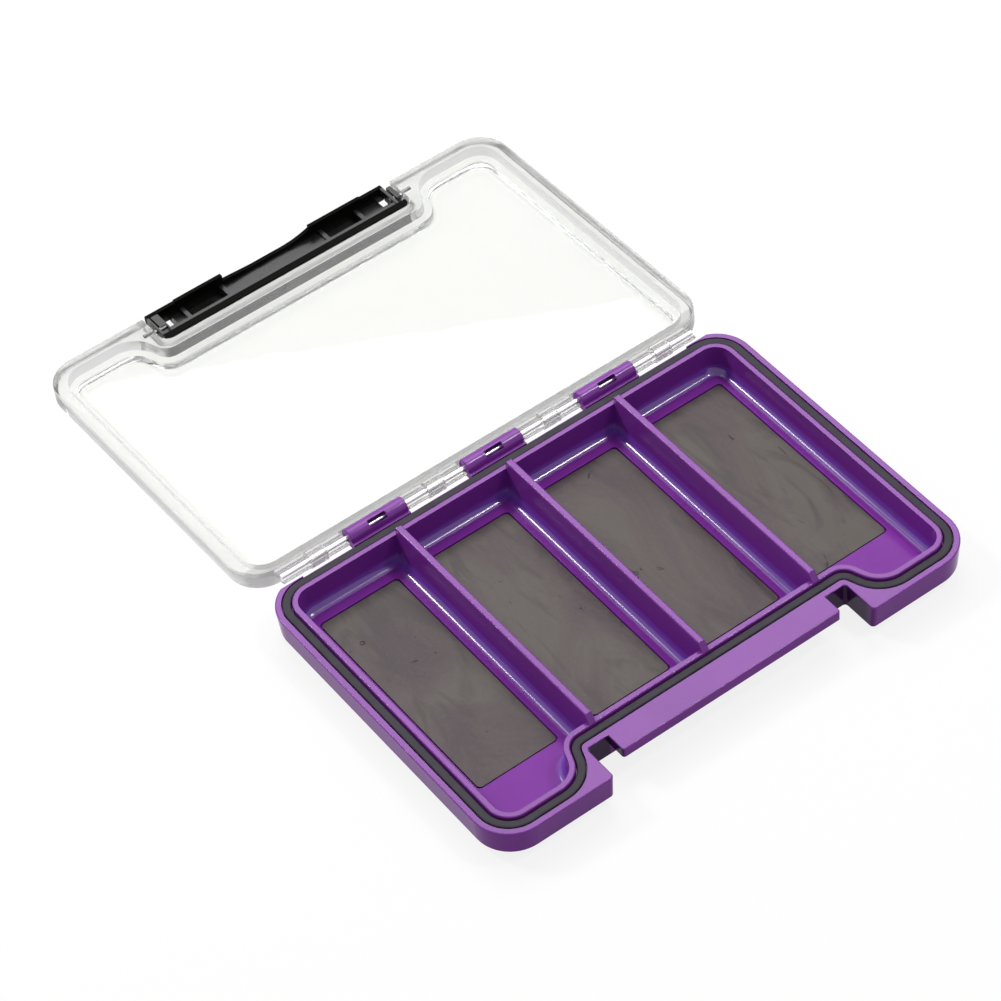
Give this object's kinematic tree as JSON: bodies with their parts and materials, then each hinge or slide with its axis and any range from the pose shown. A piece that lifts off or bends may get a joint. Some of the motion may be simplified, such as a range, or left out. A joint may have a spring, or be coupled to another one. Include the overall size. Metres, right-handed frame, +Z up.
{
  "type": "fly box",
  "caption": "Slim waterproof fly box: a divided tray with magnetic compartment floors, a rim gasket, a clear hinged lid and a rocker latch.",
  "frame": {"origin": "centre of the tray's flat underside, which rests on the table", "axes": "+Z up out of the tray, +Y towards the hinge and the opened lid, +X along the hinge"},
  "size_m": [0.15, 0.2089, 0.0137],
  "materials": {
    "tray_plastic": "satin moulded plastic",
    "gasket_rubber": "matte rubber cord",
    "magnet_rubber": "matte flexible magnetic sheet",
    "adhesive_film": "double-sided film",
    "pin_steel": "drawn steel wire",
    "clear_plastic": "clear polished plastic",
    "latch_plastic": "semi-gloss black plastic"
  },
  "bodies": {
    "tray": {"base_tray": "tray_plastic", "rim_gasket": "gasket_rubber", "magnet_sheet_1": "magnet_rubber", "magnet_sheet_2": "magnet_rubber", "magnet_sheet_3": "magnet_rubber", "magnet_sheet_4": "magnet_rubber", "magnet_adhesive_1": "adhesive_film", "magnet_adhesive_2": "adhesive_film", "magnet_adhesive_3": "adhesive_film", "magnet_adhesive_4": "adhesive_film", "hinge_pin": "pin_steel"},
    "lid": {"lid": "clear_plastic", "latch_pin_left": "pin_steel", "latch_pin_right": "pin_steel"},
    "latch": {"latch": "latch_plastic"}
  },
  "joints": [
    {"name": "lid_hinge", "type": "hinge", "parent": "tray", "child": "lid", "pos_m": [0, 0.0531, 0.0105], "axis": [1, 0, 0], "range_deg": [0, 182.02]},
    {"name": "latch_rocker", "type": "hinge", "parent": "lid", "child": "latch", "pos_m": [0, 0.15143, 0.00548], "axis": [1, 0, 0], "range_deg": [0, 90]}
  ]
}
